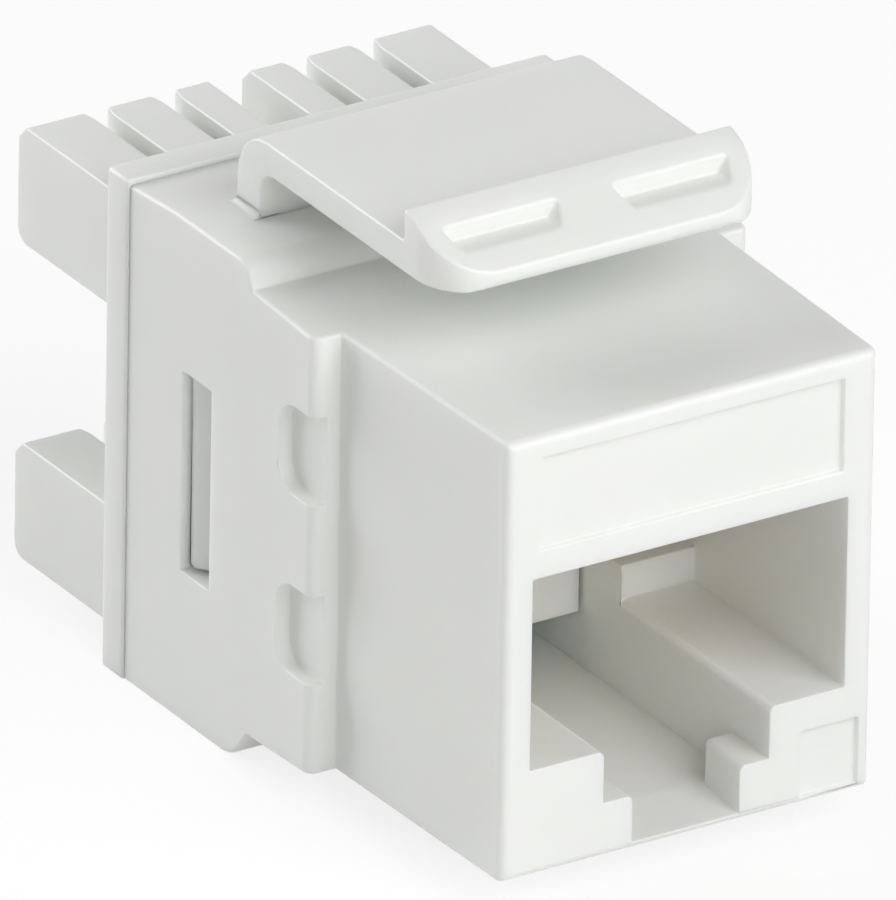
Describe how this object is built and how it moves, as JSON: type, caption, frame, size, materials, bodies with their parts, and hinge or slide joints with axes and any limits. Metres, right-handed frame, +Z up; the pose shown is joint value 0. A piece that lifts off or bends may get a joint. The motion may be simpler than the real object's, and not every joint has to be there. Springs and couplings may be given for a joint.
{
  "type": "keystone jack",
  "caption": "White keystone network jack: plug socket with sprung wire contacts in front, flexing latch arm on top, two rows of slotted posts with wire contacts behind.",
  "frame": {"origin": "bottom centre of the whole jack, under the rear section", "axes": "+Z up towards the latch arm, -Y out of the plug socket's face, +Y towards the cable, +X to the right seen from the face"},
  "size_m": [0.0174, 0.0296, 0.0227],
  "materials": {
    "white_plastic": "satin moulded",
    "board": "green solder mask",
    "gold_contact": "gold-plated strip",
    "tinned_contact": "tin-plated strip"
  },
  "bodies": {
    "housing": {"housing": "white_plastic", "idc_block": "white_plastic", "contact_insert": "white_plastic", "circuit_board": "board", "contact_run_1": "gold_contact", "contact_run_2": "gold_contact", "contact_run_3": "gold_contact", "contact_run_4": "gold_contact", "contact_run_5": "gold_contact", "contact_run_6": "gold_contact", "contact_run_7": "gold_contact", "contact_run_8": "gold_contact", "wire_contact_upper_1": "tinned_contact", "wire_contact_upper_2": "tinned_contact", "wire_contact_upper_3": "tinned_contact", "wire_contact_upper_4": "tinned_contact", "wire_contact_lower_1": "tinned_contact", "wire_contact_lower_2": "tinned_contact", "wire_contact_lower_3": "tinned_contact", "wire_contact_lower_4": "tinned_contact"},
    "latch": {"latch": "white_plastic"},
    "contact_arm_1": {"contact_arm_1": "gold_contact"},
    "contact_arm_2": {"contact_arm_2": "gold_contact"},
    "contact_arm_3": {"contact_arm_3": "gold_contact"},
    "contact_arm_4": {"contact_arm_4": "gold_contact"},
    "contact_arm_5": {"contact_arm_5": "gold_contact"},
    "contact_arm_6": {"contact_arm_6": "gold_contact"},
    "contact_arm_7": {"contact_arm_7": "gold_contact"},
    "contact_arm_8": {"contact_arm_8": "gold_contact"}
  },
  "joints": [
    {"name": "latch_press", "type": "hinge", "parent": "housing", "child": "latch", "pos_m": [0, 0.00208, 0.01861], "axis": [1, 0, 0], "range_deg": [0, 12], "stiffness_Nm_per_rad": 0.5},
    {"name": "contact_flex_1", "type": "hinge", "parent": "housing", "child": "contact_arm_1", "pos_m": [-0.00357, -0.01162, 0.01237], "axis": [1, 0, 0], "range_deg": [0, 15], "stiffness_Nm_per_rad": 0.02},
    {"name": "contact_flex_2", "type": "hinge", "parent": "housing", "child": "contact_arm_2", "pos_m": [-0.00255, -0.01162, 0.01237], "axis": [1, 0, 0], "range_deg": [0, 15], "stiffness_Nm_per_rad": 0.02},
    {"name": "contact_flex_3", "type": "hinge", "parent": "housing", "child": "contact_arm_3", "pos_m": [-0.00153, -0.01162, 0.01237], "axis": [1, 0, 0], "range_deg": [0, 15], "stiffness_Nm_per_rad": 0.02},
    {"name": "contact_flex_4", "type": "hinge", "parent": "housing", "child": "contact_arm_4", "pos_m": [-0.00051, -0.01162, 0.01237], "axis": [1, 0, 0], "range_deg": [0, 15], "stiffness_Nm_per_rad": 0.02},
    {"name": "contact_flex_5", "type": "hinge", "parent": "housing", "child": "contact_arm_5", "pos_m": [0.00051, -0.01162, 0.01237], "axis": [1, 0, 0], "range_deg": [0, 15], "stiffness_Nm_per_rad": 0.02},
    {"name": "contact_flex_6", "type": "hinge", "parent": "housing", "child": "contact_arm_6", "pos_m": [0.00153, -0.01162, 0.01237], "axis": [1, 0, 0], "range_deg": [0, 15], "stiffness_Nm_per_rad": 0.02},
    {"name": "contact_flex_7", "type": "hinge", "parent": "housing", "child": "contact_arm_7", "pos_m": [0.00255, -0.01162, 0.01237], "axis": [1, 0, 0], "range_deg": [0, 15], "stiffness_Nm_per_rad": 0.02},
    {"name": "contact_flex_8", "type": "hinge", "parent": "housing", "child": "contact_arm_8", "pos_m": [0.00357, -0.01162, 0.01237], "axis": [1, 0, 0], "range_deg": [0, 15], "stiffness_Nm_per_rad": 0.02}
  ]
}
